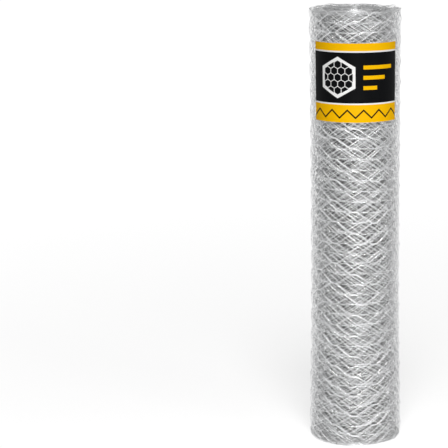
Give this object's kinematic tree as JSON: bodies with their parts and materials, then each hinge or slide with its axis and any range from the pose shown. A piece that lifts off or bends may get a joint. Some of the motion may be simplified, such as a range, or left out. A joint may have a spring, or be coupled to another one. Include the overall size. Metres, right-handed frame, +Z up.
{
  "type": "roll of chicken wire",
  "caption": "Tall roll of galvanised hexagonal wire netting wound round an open bore, standing on its end, with a plain printed card on its front.",
  "frame": {"origin": "centre of the lower end of the roll, on the floor it stands on", "axes": "+Z up along the roll's axis; -Y towards the front, where the card is; +X to the right seen from the front"},
  "size_m": [0.3118, 0.312, 1.5],
  "materials": {
    "galvanised_wire": "satin",
    "printed_card": "satin"
  },
  "bodies": {
    "root": {"netting_roll": "galvanised_wire", "label_card": "printed_card"}
  },
  "joints": []
}
